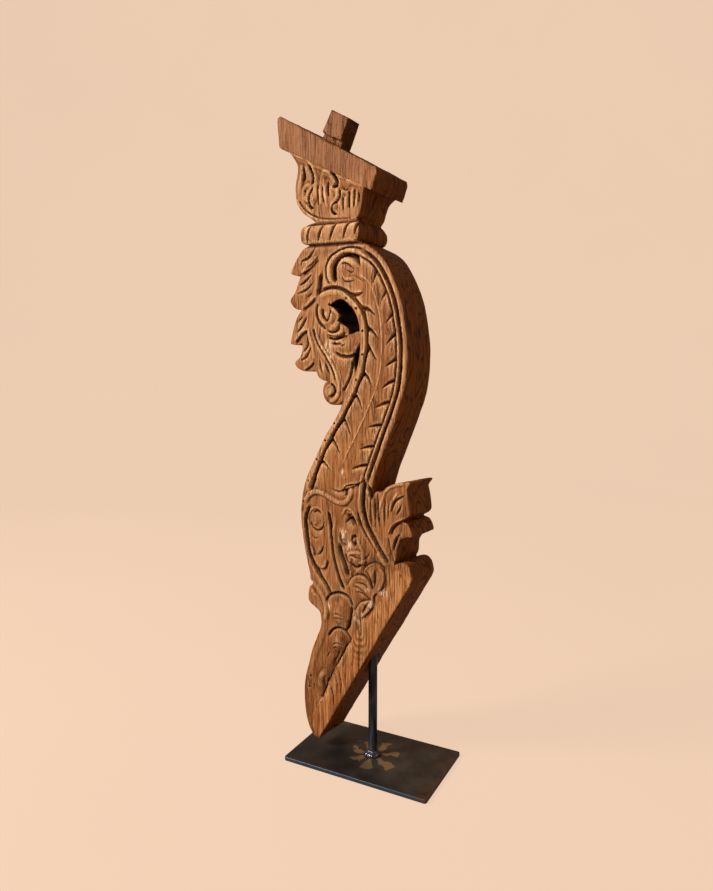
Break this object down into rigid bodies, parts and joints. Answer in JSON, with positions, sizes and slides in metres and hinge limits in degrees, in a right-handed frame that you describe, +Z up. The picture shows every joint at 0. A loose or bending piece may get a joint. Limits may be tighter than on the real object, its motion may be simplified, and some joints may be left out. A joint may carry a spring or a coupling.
{
  "type": "carved balcony bracket",
  "caption": "Carved timber balcony bracket: a leafy S-scroll plank under a bell capital and sloping abacus with a tenon, held upright on a steel rod and base plate.",
  "frame": {"origin": "underside of the base plate, on the rod's axis", "axes": "+Z up along the rod; +X across the carved face, towards the side that met the wall; the carved faces look along -Y and +Y"},
  "size_m": [0.2789, 0.1734, 0.9984],
  "materials": {
    "timber": "old dry hardwood, worn and unpolished, with open grain",
    "rod_steel": "blackened and waxed, half glossy",
    "plate_steel": "dark hot-rolled sheet with a brown cast and heat marks round the weld"
  },
  "bodies": {
    "root": {"carved_bracket": "timber", "stand_rod": "rod_steel", "base_plate": "plate_steel"}
  },
  "joints": []
}
